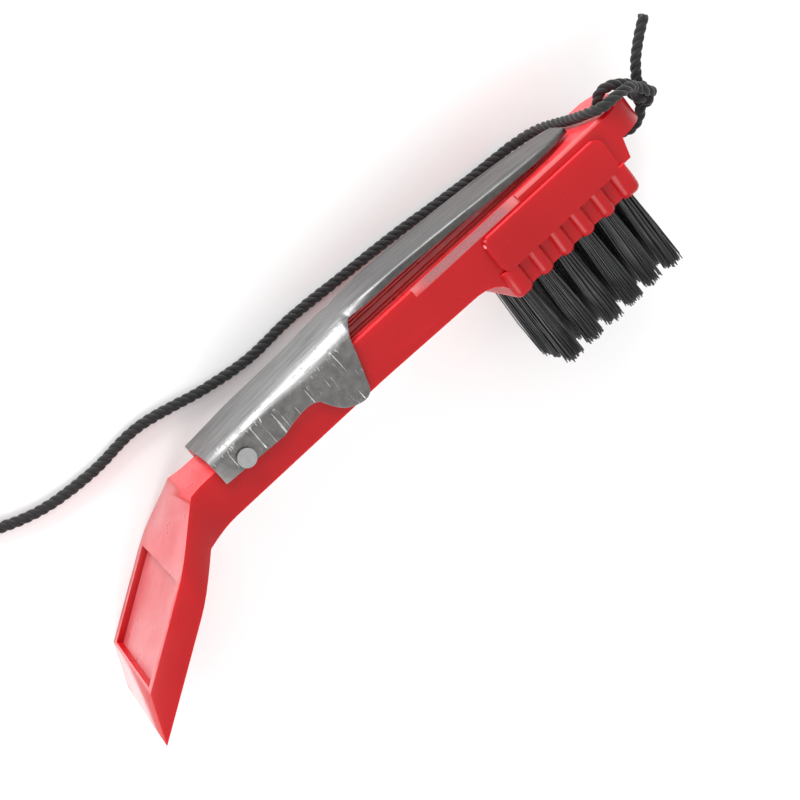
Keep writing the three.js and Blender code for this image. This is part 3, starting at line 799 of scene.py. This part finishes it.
def add_clip():
    """One sheet, folded from wall to wall over the back, then given its thickness."""
    bm = bmesh.new()
    rows = []
    inset = SHEET / 2
    for x, lower in clip_lower_edge():
        top, half = clip_top(x) - inset, clip_half(x) - inset
        corner = lerp(CLIP_CORNER, EAR_CORNER, smooth((x - EAR_BEGINS) / EAR_GROWS))
        corner = lerp(corner, TONGUE_CORNER, smooth((x - TONGUE_BEGINS) / TONGUE_SETTLES))
        corner -= inset
        squeeze = clip_half(x) / CLIP_HALF
        wall = max(top - corner - lower, 0.0)
        start = math.asin(min(max((lower - top + corner) / corner, 0.0), ARC_LIMIT))
        arc = corner * (math.pi / 2 - start)
        side = []
        for i in range(ACROSS_SIDE):
            along = (wall + arc) * i / ACROSS_SIDE
            if along < wall:
                side.append((half, lower + along))
            else:
                a = start + (along - wall) / corner
                side.append((half - corner * squeeze * (1 - math.cos(a)),
                             top - corner + corner * math.sin(a)))
        corner *= squeeze
        flat = half - corner
        bead = BEAD_HEIGHT * smooth((x - BEAD_START) / BEAD_RISE)
        bead *= smooth((BEAD_END - x) / BEAD_FALL)
        for inward in ACROSS_BACK:
            rise = bead * math.exp(-((inward - BEAD_INSET) / BEAD_WIDTH) ** 2)
            side.append((flat - inward * min(1.0, flat / BACK_NEEDS), top + rise))
        section = side + [(0.0, top)] + [(-z, y) for z, y in reversed(side)]
        rows.append([bm.verts.new(mm(x, y, z)) for z, y in section])
    for a, b in zip(rows, rows[1:]):
        for i in range(len(a) - 1):
            bm.faces.new((a[i], b[i], b[i + 1], a[i + 1]))
    bmesh.ops.recalc_face_normals(bm, faces=bm.faces)
    clip = add_mesh("steel_clip", bm, STEEL)
    # painted light: the inside of the sheet gets the brighter painted copy of the steel
    clip.data.materials.append(SHEET_INSIDE_PAINTED_BRIGHT)
    thick = clip.modifiers.new("sheet", "SOLIDIFY")
    thick.thickness = SHEET / 1000
    thick.offset = 0.0
    thick.material_offset = 1
    edges = clip.modifiers.new("edges", "BEVEL")
    edges.width = SHEET_EDGE
    edges.segments = 2
    edges.limit_method = "ANGLE"
    edges.angle_limit = math.radians(50)
    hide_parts("clip_lever")
    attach(clip, "clip")


add_clip()

# ------------------------------------------------------------------ torsion spring

PIVOT_X, PIVOT_Y = 7.0, 3.6
SPRING_WIRE, SPRING_COIL, SPRING_TURNS = 0.35, 1.75, 4.5
SPRING_TAIL = 3.3
SPRING_GAP = 0.12                       # between one turn and the next
SPRING_SEAT = 0.15                      # between its upper leg and the sheet
TURN_STEPS, LEG_STEPS, WIRE_SIDES = 24, 6, 10


def add_spring():
    """A coil about the pin, with one leg on the bar and one under the tail of the lever."""
    pitch = 2 * SPRING_WIRE + SPRING_GAP
    half = SPRING_TURNS * pitch / 2
    lower = PIVOT_Y - SPRING_COIL
    upper = clip_top(SPRING_TAIL) - SHEET - SPRING_WIRE - SPRING_SEAT
    line = [Vector((lerp(SPRING_TAIL, PIVOT_X, i / LEG_STEPS), lower, -half))
            for i in range(LEG_STEPS)]
    steps = int(SPRING_TURNS * TURN_STEPS)
    for i in range(steps + 1):
        angle = -math.pi / 2 + 2 * math.pi * i / TURN_STEPS
        line.append(Vector((
            PIVOT_X + SPRING_COIL * math.cos(angle),
            PIVOT_Y + SPRING_COIL * math.sin(angle),
            lerp(-half, half, i / steps),
        )))
    top, end = line[-1], Vector((SPRING_TAIL, upper, half))
    line += [top.lerp(end, i / LEG_STEPS) for i in range(1, LEG_STEPS + 1)]
    bm = bmesh.new()
    rings = []
    for point, (up, side) in zip(line, twist_frames(line)):
        ring = []
        for k in range(WIRE_SIDES):
            angle = 2 * math.pi * k / WIRE_SIDES
            out = (up * math.cos(angle) + side * math.sin(angle)) * SPRING_WIRE
            ring.append(bm.verts.new(mm(*(point + out))))
        rings.append(ring)
    skin(bm, rings)
    bmesh.ops.recalc_face_normals(bm, faces=bm.faces)
    spring = add_mesh("spring_wire", bm, SPRING_STEEL)
    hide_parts("torsion_spring")
    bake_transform(spring)


add_spring()

# ------------------------------------------------------------------ carried-over parts

wear(nodes["pivot_pin"], PIN_STEEL)
for face in nodes["pivot_pin"].data.polygons:
    face.use_smooth = True
for name, node in nodes.items():
    if name.startswith("anchor_"):
        wear(node, ANCHOR_BRASS)

# ------------------------------------------------------------------ stage

FLOOR_GAP, FLOOR_SIZE = 0.0001, 2.0


def add_floor():
    m = Nodes("pale_floor")
    place = m.coordinates()
    tone = m.noise(place, 3.0, 3.0)
    m.into(m.ramp(tone, "Fac", [(0.3, (0.93, 0.93, 0.93)), (0.7, (0.96, 0.96, 0.96))]),
           "Color", "Base Color")
    m.set(Roughness=0.7)
    bm = bmesh.new()
    bmesh.ops.create_grid(bm, x_segments=2, y_segments=2, size=FLOOR_SIZE)
    floor = add_mesh("floor", bm, m.material, shade_smooth=False)
    floor.location.z = BODY_LOW.z - FLOOR_GAP


def add_area(name, place, aim, size, power):
    data = bpy.data.lights.new(name, "AREA")
    data.shape = "DISK"
    data.size = size
    data.energy = power
    light = bpy.data.objects.new(name, data)
    light.location = place
    light.rotation_mode = "QUATERNION"
    light.rotation_quaternion = (Vector(aim) - Vector(place)).to_track_quat("-Z", "Y")
    bpy.context.scene.collection.objects.link(light)


def add_light():
    world = bpy.data.worlds.new("studio")
    world.use_nodes = True
    background = world.node_tree.nodes["Background"]
    background.inputs["Color"].default_value = (1.0, 1.0, 1.0, 1.0)
    background.inputs["Strength"].default_value = 0.85
    bpy.context.scene.world = world
    centre = mm(30, -5, 0)
    add_area("key", centre + Vector((0.12, 0.92, 0.26)), centre, size=0.62, power=9.5)
    add_area("fill", centre + Vector((-0.42, -0.25, 0.42)), centre, size=0.45, power=2.2)


add_floor()
add_light()
